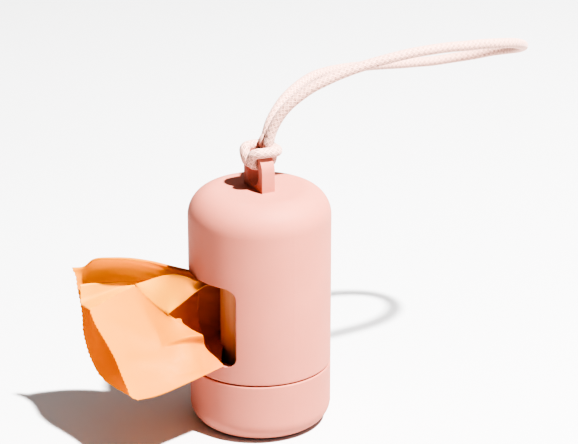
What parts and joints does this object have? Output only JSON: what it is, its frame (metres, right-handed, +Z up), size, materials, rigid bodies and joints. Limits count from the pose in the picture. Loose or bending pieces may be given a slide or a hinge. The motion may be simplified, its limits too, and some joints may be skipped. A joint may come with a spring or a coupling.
{
  "type": "dog poop bag dispenser",
  "caption": "Cylindrical dome-topped bag dispenser with a side window, a push-fit base, a roll of film bags drawn out through the window and a hitched wrist cord.",
  "frame": {"origin": "centre of the flat base face", "axes": "+Z up along the case axis, window facing -Y, lanyard tab in the XZ plane"},
  "size_m": [0.0469, 0.1403, 0.1091],
  "materials": {
    "case": "soft-touch matte, dusty pink",
    "base": "soft-touch matte, dusty pink",
    "core": "plain wound card",
    "film": "thin translucent compostable film, peach",
    "cord": "fine diamond braid, pale pink"
  },
  "bodies": {
    "base": {"base_cap": "base"},
    "case": {"housing": "case", "bag_web": "film", "wrist_cord": "cord", "cord_hitch": "cord"},
    "roll": {"roll_core": "core", "bag_roll": "film"},
    "bag": {"pulled_bag": "film"}
  },
  "joints": [
    {"name": "base_pull", "type": "slide", "parent": "base", "child": "case", "axis": [0, 0, 1], "range_m": [0, 0.03]},
    {"name": "roll_spin", "type": "hinge", "parent": "case", "child": "roll", "pos_m": [0, 0, 0.0313], "axis": [0, 0, 1], "range_deg": [0, 60]},
    {"name": "bag_pull", "type": "slide", "parent": "case", "child": "bag", "axis": [0, -1, 0], "range_m": [0, 0.0121]}
  ],
  "couplings": [
    {"joint": "bag_pull", "follows": "roll_spin", "m_per_rad": 0.0115}
  ]
}
